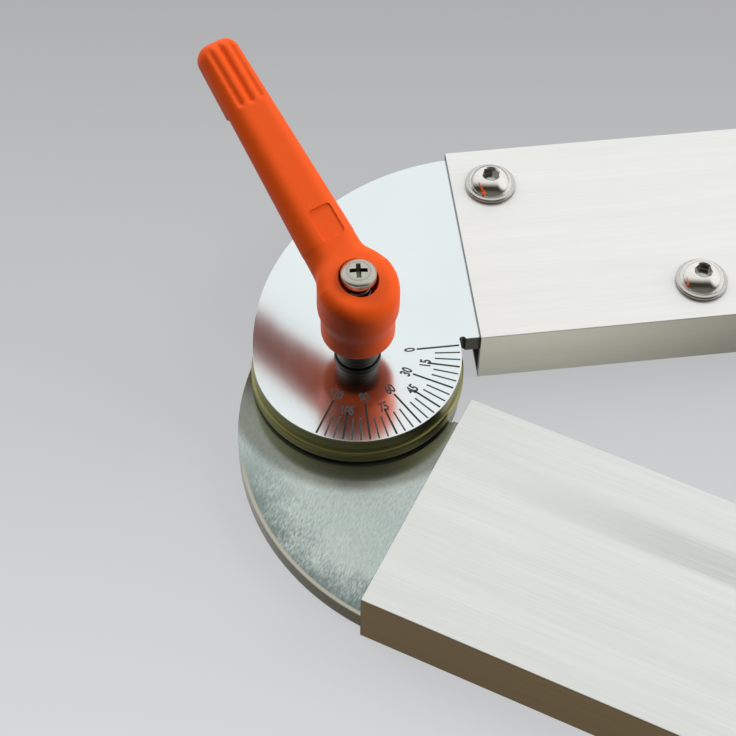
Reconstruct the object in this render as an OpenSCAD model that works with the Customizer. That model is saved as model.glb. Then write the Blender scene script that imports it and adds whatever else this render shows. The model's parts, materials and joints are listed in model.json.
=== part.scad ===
// Angle finder: two flat rectangular tubes swing about one clamped pivot bolt.
// Millimetres. Z is the pivot axis, z = 0 is the table, and the lower arm lies along +X.
// In an arm's own frame s runs out along the arm and o runs from the pivot axis into its body.

/* [Arms] */
// Angle between the two arms, in degrees
opening = 32.7; // [0:0.1:120]
// Length of each tube
arm_length = 260; // [160:1:600]
// Width of each tube
arm_width = 75; // [66:1:110]
// Height of each tube
arm_height = 20; // [19:0.5:30]
// Wall of each tube
arm_wall = 1.5; // [1:0.1:2]
// Outer corner radius of each tube
arm_corner = 0.4; // [0.3:0.1:0.9]
// Gap between the edge of the spacer disc and the near end of a tube
arm_clear = 5.5; // [3:0.5:15]
// Gap between the two fence faces when the arms are closed
fence_gap = 1.5; // [0.6:0.1:4]

/* [Plates] */
// Thickness of each plate
plate_t = 6; // [5:0.1:6.4]
// Radius of the dial
dial_r = 31.25; // [28:0.25:36]
// Length of the tongue that slides into the tube
tongue_length = 82.5; // [80:0.5:110]
// Side clearance of the tongue in the tube
tongue_clear = 0.1; // [0.05:0.05:0.3]
// Radius of the relief where the dial meets the tongue's front edge
relief_r = 1; // [0.6:0.1:1.5]

/* [Dial scale] */
// Step between two lines, in degrees
tick_step = 5; // [1:1:15]
// Last angle on the scale
tick_last = 120; // [60:15:150]
// Width of a line
tick_w = 0.4; // [0.2:0.05:0.6]
// Depth of a line
tick_depth = 0.2; // [0.1:0.05:0.4]
// Bare margin between the lines and the dial's edge
tick_margin = 0.5; // [0.3:0.1:2]
// Length of a short line
tick_short = 7.6; // [4:0.1:9]
// Length of a middle line
tick_middle = 9.7; // [5:0.1:11]
// Length of a long line
tick_long = 12.9; // [8:0.1:14]

/* [Spacer and glide] */
// How far the spacer disc stands out past the dial
spacer_lip = 0.75; // [0:0.05:2]
// Chamfer on the spacer's edges
spacer_chamfer = 0.4; // [0.2:0.1:0.8]
// Thickness of the glide disc
glide_t = 1; // [0.8:0.1:1.5]
// How far the glide disc sits back from the spacer's edge
glide_inset = 0.5; // [0.2:0.1:2]
// Screws that hold the spacer under the upper plate
spacer_screws_n = 3; // [3:1:6]
// Radius of the circle that those screws stand on
spacer_screw_circle = 20; // [15:0.5:25]
// Diameter of those screws
spacer_screw_d = 3; // [2:0.5:3]

/* [Pivot] */
// Diameter of the pivot bolt
bolt_d = 8; // [6:0.5:9]
// Diameter of the bolt's flat head
bolt_head_d = 26; // [22:0.5:32]
// Wall of the bush
bush_wall = 2; // [1:0.25:4]
// Diameter of the pin that locks the bolt to the lower plate
lock_pin_d = 2; // [1.5:0.5:3]
// Length of the pin above the bolt's head
lock_pin_length = 4; // [3:0.5:4.5]
// Diameter of the thrust washer
washer_d = 14; // [12.5:0.5:24]
// Thickness of the thrust washer
washer_t = 1.2; // [0.8:0.1:3]

/* [Clamp] */
// Diameter of the insert below the handle
insert_d = 13; // [11.8:0.1:14]
// Length of the insert that shows between the washer and the handle
insert_show = 10; // [6:0.5:20]
// Length of the plain guide inside the handle
guide_h = 4.2; // [3:0.1:6]
// Length of the teeth
spline_h = 4; // [2.5:0.1:5]
// How far the teeth sit inside the insert's outside
spline_inset = 0.4; // [0.2:0.1:0.6]
// Depth of a tooth
spline_depth = 0.6; // [0.4:0.1:0.8]
// Teeth round the insert
spline_n = 18; // [12:1:24]
// Diameter of the insert's neck
neck_d = 8; // [7.5:0.1:9]
// Play between the insert's neck and the handle's shoulder, end to end
neck_play = 0.3; // [0.1:0.05:0.6]
// Thickness of the shoulder that the spring presses on
shoulder_t = 3; // [2:0.25:5]
// Diameter of the retaining screw
retainer_d = 5; // [4:0.5:5]
// Diameter of the retaining screw's head
retainer_head_d = 10.4; // [9.6:0.1:11]
// Height of the retaining screw's head
retainer_head_h = 3.5; // [2.5:0.1:4]
// Radial gap between that head and the recess in the handle
retainer_gap = 0.6; // [0.3:0.1:0.8]
// Length of the spring
spring_length = 8.9; // [6.8:0.1:12]
// Diameter of the spring's wire
spring_wire = 0.7; // [0.5:0.05:0.8]
// Radial gap between the spring and the screw inside it
spring_gap = 0.6; // [0.3:0.1:0.8]
// Turns of the spring
spring_turns = 3; // [2:0.5:3]

/* [Handle] */
// Way that the handle's arm points at rest, in degrees from the lower arm
handle_azimuth = 149.7; // [0:0.1:359]
// Depth of the arm's axis below the hub's top, where it meets the pivot axis
lever_drop = 8.3; // [6:0.1:10]
// Rise of the handle's arm, in degrees
handle_rise = 26; // [15:0.5:35]
// Reach of the handle's tip from the pivot axis
handle_reach = 77; // [60:1:110]
// Diameter of the hub's skirt
hub_d = 22; // [20:0.1:26]
// How far the collar stands out past the skirt
collar_lip = 1.05; // [0.5:0.05:2]
// Height at which the hub reaches the collar's full width
collar_h = 13.6; // [10:0.1:16]
// Height over which the skirt widens to the collar
collar_taper = 6; // [2:0.5:8]
// Height of the hub at the axis
hub_h = 25.6; // [25:0.1:30]
// Slope of the hub's top, in degrees
hub_slope = 17; // [5:0.5:20]
// Rounding of the hub's top edge
hub_round = 4.5; // [1:0.25:5]
// Width of the handle's arm at the hub
lever_w = 18.2; // [14:0.1:20]
// Width of the handle's arm at the tip
lever_tip_w = 12.9; // [10:0.1:15]
// Thickness of the handle's arm, as a share of its width
lever_share = 0.68; // [0.5:0.01:0.9]
// Rounding of the tip
tip_round = 4; // [1:0.25:4]
// Length of the grip at the tip
grip_length = 19.9; // [12:0.1:30]
// How far the grip stands below the arm
grip_step = 2.9; // [0.5:0.1:3.4]
// Width of a groove in the grip
groove_w = 1.8; // [1:0.1:2.4]
// Spacing of the grooves
groove_pitch = 3.5; // [2.6:0.1:3.6]

/* [Screws] */
// Diameter of the upper arm's button-head screws
button_screw_d = 8; // [6:0.5:10]
// Diameter of their heads
button_head_d = 14; // [12:0.5:18]
// Height of their heads
button_head_h = 4.4; // [3:0.1:5.5]
// Width across the flats of their sockets
button_socket = 5; // [4:0.5:6]
// Diameter of the flat washers under those heads
screw_washer_d = 16; // [15:0.5:20]
// Thickness of those washers
screw_washer_t = 1.6; // [1:0.1:2.5]
// Diameter of the lower arm's countersunk screws
flat_screw_d = 6; // [5:0.5:8]
// Distance from the near end of a tube to its rear screw
rear_screw_s = 12.3; // [10:0.1:20]
// Distance from the tube's back edge to its rear screw
rear_screw_o = 15.25; // [12:0.25:20]
// Distance from the near end of a tube to its fence screw
fence_screw_s = 70.6; // [50:0.1:72]
// Distance from the fence face to its fence screw
fence_screw_o = 13.85; // [12:0.05:20]
// Radial clearance of a screw in its hole
screw_clear = 0.15; // [0.05:0.05:0.4]

/* [End plugs] */
// Thickness of an end plug's flange
plug_flange = 2; // [1.5:0.5:5]
// Length of an end plug inside the tube
plug_depth = 12; // [8:1:20]
// Wall of an end plug's body
plug_wall = 1.8; // [1.2:0.1:3]
// Clearance of an end plug in the tube
plug_clear = 0.15; // [0.05:0.05:0.3]

/* [Fits] */
// Radial clearance of parts that turn or slide on each other
run_clear = 0.05; // [0.02:0.01:0.1]
// Gap between flat faces that turn on each other
face_gap = 0.1; // [0.05:0.05:0.3]

/* [Hidden] */
$fn = 96;
// Amount by which a cutter runs past the face it cuts
cut = 0.5;
// Facets of the shapes that are hulled
hull_fn = 32;

// Stack of the pivot, from the table up
lower_plate_z = arm_wall;
glide_z = lower_plate_z + plate_t;
spacer_z = glide_z + glide_t + face_gap;
dial_z = arm_height - arm_wall;
upper_plate_z = dial_z - plate_t;
washer_z = dial_z;
insert_z = washer_z + washer_t + face_gap;
hub_z = insert_z + insert_show;
spline_z = hub_z + guide_h;
neck_z = spline_z + spline_h;
// The neck is longer than the teeth, so that the handle lifts clear of them
handle_lift = spline_h;
lift_spare = 1;
shoulder_z = neck_z + handle_lift + lift_spare + neck_play;
insert_top = shoulder_z - neck_play;
recess_z = shoulder_z + shoulder_t;
retainer_z = recess_z + spring_length + 2 * face_gap;

// Plan of an arm
arm_start = dial_r + spacer_lip + arm_clear;
fence_o = fence_gap / 2;
back_o = fence_o + arm_width;
arm_end = arm_start + arm_length;
tongue_front = fence_o + arm_wall + tongue_clear;
tongue_back = back_o - arm_wall - tongue_clear;
tongue_end = arm_start + tongue_length;
// The heel's arc touches the dial on the far side of the pivot, and the tongue's back edge
heel_r = tongue_back;
heel_s = heel_r - dial_r;
spacer_r = dial_r + spacer_lip;
glide_r = spacer_r - glide_inset;

// Pivot and clamp
bolt_r = bolt_d / 2;
bush_bore = bolt_r + run_clear;
bush_r = bush_bore + bush_wall;
bolt_top = spline_z;
insert_bore = bolt_r + run_clear;
spline_r = insert_d / 2 - spline_inset;
retainer_r = retainer_d / 2;
recess_r = retainer_head_d / 2 + retainer_gap;
spring_r = retainer_r + spring_wire / 2 + spring_gap;
lock_pin_radius = (bolt_head_d / 2 + bolt_r) / 2;
spacer_head_h = spacer_screw_d / 2;

// Handle
collar_r = hub_d / 2 + collar_lip;
hub_top = hub_z + hub_h;
lever_z = hub_top - lever_drop;
lever_length = handle_reach / cos(handle_rise);
hub_chamfer = 1.2;
grip_start = lever_length - grip_length / cos(handle_rise);

// Countersunk screws of the lower arm
flat_head_h = flat_screw_d / 2;
flat_head_sink = 0.2;

// ---------------------------------------------------------------- helpers

// Ring or disc with a bore and its edges chamfered by c
module washer_ring(r_out, r_in, h, c = 0) {
    rotate_extrude()
        polygon([[r_in, 0], [r_out - c, 0], [r_out, c], [r_out, h - c], [r_out - c, h], [r_in, h]]);
}

// Disc on the pivot axis, from height z
module disc(r, z, h) {
    translate([0, 0, z]) cylinder(r = r, h = h);
}

// Rectangle with round corners, from the origin
module round_rect(w, h, r) {
    translate([r, 0]) square([w - 2 * r, h]);
    translate([0, r]) square([w, h - 2 * r]);
    for (x = [r, w - r], y = [r, h - r])
        translate([x, y]) circle(r = r);
}

// Puts what is drawn in the frame (s, o) of an arm in its place
module upper_arm() {
    rotate([0, 0, opening]) children();
}

module lower_arm() {
    mirror([0, 1, 0]) children();
}

// Puts its children on the rear or the fence screw's axis, in an arm's frame
module at_rear_screw() {
    translate([arm_start + rear_screw_s, back_o - rear_screw_o, 0]) children();
}

module at_fence_screw() {
    translate([arm_start + fence_screw_s, fence_o + fence_screw_o, 0]) children();
}

module at_both_screws() {
    at_rear_screw() children();
    at_fence_screw() children();
}

// ---------------------------------------------------------------- arms

// Square-cut rectangular tube on the table, in an arm's frame
module tube() {
    translate([arm_start, fence_o, 0])
        difference() {
            rotate([90, 0, 90])
                linear_extrude(arm_length) round_rect(arm_width, arm_height, arm_corner);
            translate([-cut, arm_wall, arm_wall])
                cube([arm_length + 2 * cut, arm_width - 2 * arm_wall, arm_height - 2 * arm_wall]);
        }
}

module upper_tube() {
    color("gainsboro") upper_arm()
        difference() {
            tube();
            at_both_screws()
                disc(button_screw_d / 2 + screw_clear, arm_height - arm_wall - cut, arm_wall + 2 * cut);
        }
}

module lower_tube() {
    color("gainsboro") lower_arm()
        difference() {
            tube();
            at_both_screws() flat_head_space(screw_clear);
        }
}

// Open plug with a flange, in an arm's frame
module end_plug() {
    fit = arm_wall + plug_clear;
    body_w = arm_width - 2 * fit;
    body_h = arm_height - 2 * fit;
    color("dimgray") translate([arm_end, fence_o, 0]) {
        rotate([90, 0, 90]) linear_extrude(plug_flange) round_rect(arm_width, arm_height, arm_corner);
        difference() {
            translate([-plug_depth, fit, fit]) cube([plug_depth, body_w, body_h]);
            translate([-plug_depth - cut, fit + plug_wall, fit + plug_wall])
                cube([plug_depth + cut, body_w - 2 * plug_wall, body_h - 2 * plug_wall]);
        }
    }
}

module upper_end_plug() {
    upper_arm() end_plug();
}

module lower_end_plug() {
    lower_arm() end_plug();
}

// ---------------------------------------------------------------- plates

// Plan of a plate: the dial, the heel behind it and the tongue in the tube
module plate_plan() {
    difference() {
        union() {
            circle(r = dial_r, $fn = 180);
            intersection() {
                translate([heel_s, 0]) circle(r = heel_r, $fn = 240);
                union() {
                    translate([-dial_r, 0]) square([dial_r, heel_r]);
                    translate([0, tongue_front]) square([heel_s, heel_r]);
                }
            }
            translate([heel_s, tongue_front])
                square([tongue_end - heel_s, tongue_back - tongue_front]);
        }
        translate([sqrt(pow(dial_r + relief_r, 2) - pow(tongue_front, 2)), tongue_front - 0.2])
            circle(r = relief_r);
    }
}

module lower_plate() {
    color([0.62, 0.66, 0.65]) lower_arm()
        difference() {
            translate([0, 0, lower_plate_z]) linear_extrude(plate_t) plate_plan();
            disc(bolt_r + run_clear, lower_plate_z - cut, plate_t + 2 * cut);
            translate([lock_pin_radius, 0, lower_plate_z - cut])
                cylinder(r = lock_pin_d / 2 + run_clear, h = lock_pin_length + 2 * cut);
            at_both_screws() flat_head_space(run_clear);
            at_both_screws()
                disc(flat_screw_d / 2 + run_clear, lower_plate_z, plate_t + cut);
        }
}

module upper_plate() {
    color("white") upper_arm()
        difference() {
            translate([0, 0, upper_plate_z]) linear_extrude(plate_t) plate_plan();
            disc(bush_r, upper_plate_z - cut, plate_t + 2 * cut);
            at_both_screws()
                disc(button_screw_d / 2 + run_clear, upper_plate_z - cut, plate_t + 2 * cut);
            spacer_screw_places()
                disc(spacer_screw_d / 2 + run_clear, upper_plate_z - cut, plate_t - 1 + cut);
            dial_lines();
        }
}

// Length of the line at an angle of the scale
function tick_length(a) = a % 30 == 0 ? tick_long : a % 15 == 0 ? tick_middle : tick_short;

// Grooves of the scale, clockwise from the upper arm's fence direction
module dial_lines() {
    for (a = [0:tick_step:tick_last])
        rotate([0, 0, -a])
            translate([dial_r - tick_margin - tick_length(a), -tick_w / 2, dial_z - tick_depth])
                cube([tick_length(a), tick_w, tick_depth + cut]);
}

// ---------------------------------------------------------------- spacer and glide

// Puts its children on each screw of the spacer, in the upper arm's frame
module spacer_screw_places() {
    for (i = [0:spacer_screws_n - 1])
        rotate([0, 0, 60 + i * 360 / spacer_screws_n]) translate([spacer_screw_circle, 0, 0]) children();
}

// Cone and shank of a spacer screw, grown by g all round
module spacer_screw_shape(g) {
    translate([0, 0, spacer_z - g]) {
        cylinder(r1 = spacer_screw_d + g, r2 = spacer_screw_d / 2 + g, h = spacer_head_h);
        cylinder(r = spacer_screw_d / 2 + g, h = upper_plate_z - spacer_z + plate_t - 1.5 + g);
    }
}

module spacer_disc() {
    color("silver") upper_arm()
        difference() {
            translate([0, 0, spacer_z])
                washer_ring(spacer_r, bush_r, upper_plate_z - spacer_z, spacer_chamfer, $fn = 180);
            spacer_screw_places() spacer_screw_shape(run_clear);
        }
}

module spacer_screws() {
    color("gray") upper_arm() spacer_screw_places()
        difference() {
            spacer_screw_shape(0);
            translate([0, 0, spacer_z - cut])
                cylinder(r = spacer_screw_d / 3, h = spacer_head_h / 2 + cut, $fn = 6);
        }
}

module glide_disc() {
    color("black") translate([0, 0, glide_z])
        washer_ring(glide_r, bolt_r + screw_clear, glide_t, 0.2, $fn = 180);
}

// ---------------------------------------------------------------- pivot

// Bolt on a flat head that stands on the table
module pivot_bolt() {
    color("darkgray") difference() {
        union() {
            washer_ring(bolt_head_d / 2, 0, arm_wall, 0.3);
            cylinder(r = bolt_r, h = bolt_top - 0.5);
            translate([0, 0, bolt_top - 0.5]) cylinder(r1 = bolt_r, r2 = bolt_r - 0.5, h = 0.5);
        }
        lower_arm() translate([lock_pin_radius, 0, 0.5])
            cylinder(r = lock_pin_d / 2 + run_clear, h = arm_wall);
    }
}

module bolt_lock_pin() {
    color("gray") lower_arm() translate([lock_pin_radius, 0, 0.5])
        cylinder(r = lock_pin_d / 2, h = arm_wall - 0.5 + lock_pin_length);
}

// Bush through the upper plate and the spacer
module pivot_bush() {
    color("goldenrod") translate([0, 0, spacer_z])
        washer_ring(bush_r, bush_bore, dial_z - spacer_z, 0);
}

module thrust_washer() {
    color("lightgray") translate([0, 0, washer_z])
        washer_ring(washer_d / 2, bolt_r + screw_clear, washer_t, 0.2);
}

// ---------------------------------------------------------------- clamp

// Plan of the teeth on the insert, grown by g all round
module spline_plan(g) {
    root_r = spline_r - spline_depth;
    tooth_w = 0.16 * spline_r + 2 * g;
    circle(r = root_r + g);
    for (i = [0:spline_n - 1])
        rotate([0, 0, i * 360 / spline_n])
            translate([root_r - spline_depth, -tooth_w / 2]) square([2 * spline_depth + g, tooth_w]);
}

module clamp_insert() {
    color("lightgray") difference() {
        union() {
            translate([0, 0, insert_z]) washer_ring(insert_d / 2, 0, spline_z - insert_z, 0.3);
            translate([0, 0, spline_z - cut]) linear_extrude(spline_h + cut) spline_plan(0);
            disc(neck_d / 2, neck_z - cut, insert_top - neck_z + cut);
        }
        disc(insert_bore, insert_z - cut, bolt_top + 0.3 - insert_z + cut);
        disc(retainer_r + run_clear, bolt_top, insert_top - bolt_top + cut);
    }
}

module handle_screw() {
    head_r = retainer_head_d / 2;
    color("silver") difference() {
        union() {
            disc(retainer_r, bolt_top + 1, retainer_z - bolt_top - 1 + cut);
            translate([0, 0, retainer_z]) rotate_extrude()
                difference() {
                    translate([0, -head_r * 2]) intersection() {
                        translate([0, head_r * 2]) square([head_r, retainer_head_h]);
                        translate([0, retainer_head_h - 0.3]) circle(r = head_r * 2 + 0.3);
                    }
                    translate([-head_r, -1]) square([head_r, retainer_head_h + 2]);
                }
        }
        for (a = [20, 110])
            rotate([0, 0, a])
                translate([-2.9, -0.5, retainer_z + retainer_head_h - 1.6]) cube([5.8, 1, 3]);
    }
}

// Points of a ring of the wire, at turn t of the coil
function wire_ring(t, sides) = [for (k = [0:sides - 1])
    let (b = k * 360 / sides, rr = spring_r + spring_wire / 2 * cos(b))
    [rr * cos(360 * t), rr * sin(360 * t),
        spring_wire / 2 + t * (spring_length - spring_wire) / spring_turns
            + spring_wire / 2 * sin(b)]];

module handle_spring() {
    sides = 10;
    rings = ceil(spring_turns * 28);
    points = [for (i = [0:rings]) each wire_ring(i * spring_turns / rings, sides)];
    skin = [for (i = [0:rings - 1], k = [0:sides - 1])
        let (n = (k + 1) % sides)
        [i * sides + k, i * sides + n, (i + 1) * sides + n, (i + 1) * sides + k]];
    start_cap = [[for (k = [sides - 1:-1:0]) k]];
    end_cap = [[for (k = [0:sides - 1]) rings * sides + k]];
    color("silver") translate([0, 0, recess_z + face_gap])
        polyhedron(points = points, faces = [for (f = concat(skin, start_cap, end_cap))
            [for (j = [len(f) - 1:-1:0]) f[j]]]);
}

// ---------------------------------------------------------------- handle

// Puts its children in the frame of the handle's arm: X along the arm, Y across, Z up
module lever_frame() {
    rotate([0, 0, handle_azimuth]) translate([0, 0, lever_z]) rotate([0, -handle_rise, 0]) children();
}

// Width of the handle's arm at a distance along it
function lever_width(x) = lever_w + (lever_tip_w - lever_w) * x / lever_length;

// Thin section of the handle's arm at x, made smaller all round by s and lower by drop
module lever_slice(x, s = 0, drop = 0) {
    w = lever_width(x) - 2 * s;
    t = lever_width(x) * lever_share - 2 * s + drop;
    r = min(w, t) * 0.46;
    translate([x, 0, -drop / 2]) rotate([90, 0, 90])
        linear_extrude(0.05) offset(r = r, $fn = hull_fn) square([w - 2 * r, t - 2 * r], center = true);
}

// Slices of the rounded tip
module lever_tip(drop) {
    for (a = [0:30:90])
        lever_slice(lever_length - tip_round * (1 - sin(a)), tip_round * (1 - cos(a)) * 0.8, drop);
}

// Hub as a turned body under a tilted round-edged cap
module hub_body() {
    rotate([0, 0, handle_azimuth]) {
        translate([0, 0, hub_z]) rotate_extrude()
            polygon([[0, 0], [hub_d / 2 - hub_chamfer, 0], [hub_d / 2, hub_chamfer],
                [hub_d / 2, collar_h - collar_taper], [collar_r, collar_h], [0, collar_h]]);
        intersection() {
            disc(collar_r, hub_z + collar_h - cut, hub_h);
            translate([0, 0, hub_top]) rotate([0, -hub_slope, 0])
                translate([0, 0, -hub_h]) cap(collar_r / cos(hub_slope) + 0.3, hub_h, hub_round);
        }
    }
}

// Cylinder of height h whose top edge is rounded by r
module cap(radius, h, r) {
    rotate_extrude() {
        square([radius, h - r]);
        square([radius - r, h]);
        translate([radius - r, h - r]) circle(r = r);
    }
}

module lever_handle() {
    color("orangered") difference() {
        union() {
            hub_body();
            lever_frame() {
                hull() {
                    lever_slice(3);
                    lever_tip(0);
                }
                hull() {
                    lever_slice(grip_start, 0, grip_step);
                    lever_tip(grip_step);
                }
            }
        }
        grip_grooves();
        handle_bores();
    }
}

// Three lengthwise grooves on the top of the grip, parallel to its falling top face
module grip_grooves() {
    top_fall = atan((lever_w - lever_tip_w) * lever_share / 2 / lever_length);
    for (y = [-groove_pitch, 0, groove_pitch])
        lever_frame() translate([grip_start, y, lever_width(grip_start) * lever_share / 2])
            rotate([0, 90 + top_fall, 0]) cylinder(r = groove_w / 2, h = lever_length);
}

// Guide, inner teeth, clearance over the teeth, shoulder hole and the recess of the screw
module handle_bores() {
    disc(insert_d / 2 + run_clear, hub_z - cut, guide_h + cut);
    translate([0, 0, spline_z - cut]) linear_extrude(spline_h + 2 * cut) spline_plan(run_clear);
    disc(spline_r + run_clear, neck_z, shoulder_z - neck_z);
    disc(retainer_r + screw_clear, shoulder_z - cut, shoulder_t + 2 * cut);
    disc(recess_r, recess_z, hub_h);
}

// ---------------------------------------------------------------- screws of the arms

// Button-head screw whose head stands on a washer on the tube's top wall
module button_screw() {
    head_r = button_head_d / 2;
    head_z = arm_height + screw_washer_t;
    dome_r = (head_r * head_r + button_head_h * button_head_h) / (2 * button_head_h);
    color("silver") difference() {
        union() {
            disc(button_screw_d / 2, upper_plate_z + 0.5, head_z - upper_plate_z);
            translate([0, 0, head_z]) rotate_extrude()
                intersection() {
                    translate([0, button_head_h - dome_r]) circle(r = dome_r);
                    square([head_r, button_head_h]);
                }
        }
        disc(button_socket / 2 / cos(30), head_z + button_head_h - 2.6, 5, $fn = 6);
    }
}

module upper_arm_screw_rear() {
    upper_arm() at_rear_screw() button_screw();
}

module upper_arm_screw_fence() {
    upper_arm() at_fence_screw() button_screw();
}

// The two flat washers between the screws' heads and the tube
module upper_arm_washers() {
    color("silver") upper_arm() at_both_screws() translate([0, 0, arm_height])
        washer_ring(screw_washer_d / 2, button_screw_d / 2 + 0.2, screw_washer_t, 0.15);
}

// Space of a countersunk head from the table up, grown by g
module flat_head_space(g) {
    translate([0, 0, -cut]) cylinder(r = flat_screw_d + g, h = flat_head_sink + cut);
    translate([0, 0, flat_head_sink])
        cylinder(r1 = flat_screw_d + g, r2 = flat_screw_d / 2 + g, h = flat_head_h);
    cylinder(r = flat_screw_d / 2 + g, h = lower_plate_z + flat_head_h);
}

// Countersunk screw from below, sunk a little under the tube's bottom face
module flat_screw() {
    color("gray") difference() {
        translate([0, 0, flat_head_sink]) {
            cylinder(r1 = flat_screw_d, r2 = flat_screw_d / 2, h = flat_head_h);
            cylinder(r = flat_screw_d / 2, h = glide_z - flat_head_sink - 0.3);
        }
        translate([0, 0, -cut]) cylinder(r = flat_screw_d / 3, h = flat_head_h * 0.7 + cut, $fn = 6);
    }
}

module lower_arm_screw_rear() {
    lower_arm() at_rear_screw() flat_screw();
}

module lower_arm_screw_fence() {
    lower_arm() at_fence_screw() flat_screw();
}

// ---------------------------------------------------------------- nodes

lower_tube();
upper_tube();
lower_plate();
upper_plate();
spacer_disc();
spacer_screws();
glide_disc();
pivot_bolt();
bolt_lock_pin();
pivot_bush();
thrust_washer();
clamp_insert();
lever_handle();
handle_spring();
handle_screw();
upper_arm_screw_rear();
upper_arm_screw_fence();
upper_arm_washers();
lower_arm_screw_rear();
lower_arm_screw_fence();
upper_end_plug();
lower_end_plug();
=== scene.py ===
# %% [markdown]
# # Dressing an angle finder
#
# The real tool is two flat aluminium tubes on steel plates, which swing about one bolt. An orange
# ratchet handle clamps them, and a dial round the bolt shows the angle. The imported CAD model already
# holds every piece at its real size. This lesson gives each piece its finish, models the few shapes
# that need smooth blends, inks the dial, and sets up a camera and a plain studio.

# %% Load the frame
import json
import math

import bmesh
import bpy
from mathutils import Matrix, Vector


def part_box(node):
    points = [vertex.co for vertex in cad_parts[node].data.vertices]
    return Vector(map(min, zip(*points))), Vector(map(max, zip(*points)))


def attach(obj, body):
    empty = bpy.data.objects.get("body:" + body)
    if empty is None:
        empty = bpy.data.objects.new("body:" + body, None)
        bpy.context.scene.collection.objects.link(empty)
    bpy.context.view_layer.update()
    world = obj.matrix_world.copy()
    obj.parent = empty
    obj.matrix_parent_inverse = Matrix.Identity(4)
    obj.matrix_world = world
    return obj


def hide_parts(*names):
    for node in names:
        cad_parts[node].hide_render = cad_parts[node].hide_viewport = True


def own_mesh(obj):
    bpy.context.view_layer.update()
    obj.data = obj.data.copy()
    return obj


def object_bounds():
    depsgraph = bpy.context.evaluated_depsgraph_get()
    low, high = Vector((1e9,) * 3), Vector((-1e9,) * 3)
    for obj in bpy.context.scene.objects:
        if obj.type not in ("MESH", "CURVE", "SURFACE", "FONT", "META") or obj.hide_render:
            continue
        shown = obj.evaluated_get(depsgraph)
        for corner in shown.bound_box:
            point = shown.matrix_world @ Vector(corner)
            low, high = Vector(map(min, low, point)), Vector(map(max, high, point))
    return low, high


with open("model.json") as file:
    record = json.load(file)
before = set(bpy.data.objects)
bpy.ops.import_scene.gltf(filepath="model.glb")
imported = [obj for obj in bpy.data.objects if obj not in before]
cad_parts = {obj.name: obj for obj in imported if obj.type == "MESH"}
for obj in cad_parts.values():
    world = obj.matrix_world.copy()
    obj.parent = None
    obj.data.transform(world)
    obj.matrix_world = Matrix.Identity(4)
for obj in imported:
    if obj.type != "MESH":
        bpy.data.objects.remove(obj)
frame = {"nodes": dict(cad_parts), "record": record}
cad_box = [list(corner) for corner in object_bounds()]
nodes = frame["nodes"]
MM = 0.001
print("CAD nodes:", len(nodes), "box:", cad_box)

# %% [markdown]
# ## Where things are
#
# A piece that is added here has to sit on the CAD piece that carries it, so its place is read from
# the frame and never typed in twice. The dial's face is the top of the upper plate, the opening angle
# comes from the upper fence's mount, and the handle's hub is found from its own box.

# %% Places read from the frame
mounts = {m["name"]: m for m in frame["record"]["mounts"]}
upper_normal = Vector(mounts["upper_fence_face"]["axis"])
opening = math.atan2(upper_normal.x, -upper_normal.y)
upper_turn = Matrix.Rotation(opening, 4, "Z")
dial_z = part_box("upper_plate")[1].z
heel_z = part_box("lower_plate")[1].z
tube_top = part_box("upper_tube")[1].z
hub_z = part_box("lever_handle")[0].z
print("opening %.1f degrees, dial at %.1f mm" % (math.degrees(opening), dial_z / MM))


# %% Objects and matrices
def new_object(name, data):
    """An object of the scene, at the origin."""
    made = bpy.data.objects.new(name, data)
    bpy.context.scene.collection.objects.link(made)
    return made


def as_object(bm, name):
    """An object at the origin from a bmesh."""
    mesh = bpy.data.meshes.new(name)
    bm.to_mesh(mesh)
    bm.free()
    return new_object(name, mesh)


def raised(height):
    """A matrix that moves a piece up."""
    return Matrix.Translation((0, 0, height))


TO_METRES = Matrix.Scale(MM, 4)
dial_frame = upper_turn @ raised(dial_z) @ TO_METRES

# %% [markdown]
# ## Camera
#
# The picture was taken with a long lens from above, so parallel edges stay nearly parallel. A camera
# is easiest to understand as a point that it looks at, a distance, a pitch, a heading and a roll. The
# pivot isn't in the middle of the picture, so the camera is moved sideways instead of being shifted.

# %% Set the camera
PICTURE = 736
LENS = 97.69
SENSOR = 36.0
CAMERA_DISTANCE = 597.4 * MM
CAMERA_PITCH = math.radians(54.012)
CAMERA_ROLL = math.radians(1.1)
CAMERA_HEADING = math.radians(24.716)
# Where the pivot's point on the dial's face falls in the picture, in pixels from its top left corner
PIVOT_IN_PICTURE = (357.61, 354.68)


def place_camera():
    """A camera that sees the pivot at its place in the picture."""
    data = bpy.data.cameras.new("photo_camera")
    data.sensor_width = SENSOR
    data.lens = LENS
    data.clip_start = 0.01
    camera = new_object("photo_camera", data)
    turned = (Matrix.Rotation(CAMERA_HEADING, 4, "Z") @ Matrix.Rotation(math.pi / 2 - CAMERA_PITCH, 4, "X")
              @ Matrix.Rotation(CAMERA_ROLL, 4, "Z"))
    pixel = SENSOR / LENS / PICTURE
    across, down = [(p - PICTURE / 2) * pixel for p in PIVOT_IN_PICTURE]
    pivot_seen = CAMERA_DISTANCE * Vector((across, -down, -1))
    camera.matrix_world = raised(dial_z) @ turned @ Matrix.Translation(-pivot_seen)
    bpy.context.scene.camera = camera


place_camera()
bpy.context.scene.view_settings.view_transform = "Standard"
print("camera at", [round(v, 3) for v in bpy.context.scene.camera.location])

# %% [markdown]
# ## Talking to shader nodes
#
# A material is a small graph. A few helpers keep the code that builds one short: they add a node and
# set its values, do sums, make ramps and masks, mix colours, and give the place on the object that is
# shaded. Each one takes sockets or plain values, so their calls can be nested.

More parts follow.
